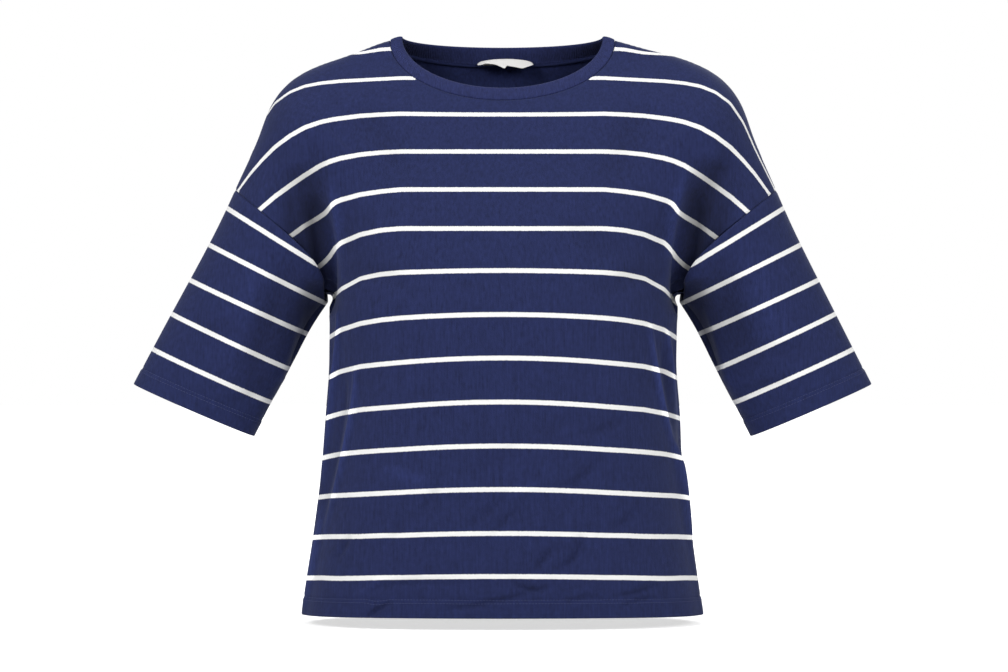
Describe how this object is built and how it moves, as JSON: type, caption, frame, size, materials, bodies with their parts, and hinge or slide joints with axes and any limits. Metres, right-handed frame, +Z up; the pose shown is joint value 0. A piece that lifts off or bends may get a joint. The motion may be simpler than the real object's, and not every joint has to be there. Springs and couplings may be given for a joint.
{
  "type": "sweater",
  "caption": "Striped fine-knit half-sleeve top with dropped shoulders, a ribbed crew neckband and a plain hem, filled out as if worn with no wearer inside",
  "frame": {"origin": "Between the shoulders, at the height of the two neck points: where a wearer carries the garment", "axes": "+Z up, the front faces -Y, +X to the garment's own left side, which is the right side of a picture from the front"},
  "size_m": [0.737, 0.2469, 0.5771],
  "materials": {
    "navy_knit": "fine jersey knit, matt, navy with narrow off-white stripes",
    "navy_rib": "fine one-by-one rib knit, matt",
    "label_weave": "plain woven tape, blank"
  },
  "bodies": {
    "root": {"front": "navy_knit", "back": "navy_knit", "sleeve_right": "navy_knit", "sleeve_left": "navy_knit", "neckband": "navy_rib", "label": "label_weave"}
  },
  "joints": []
}
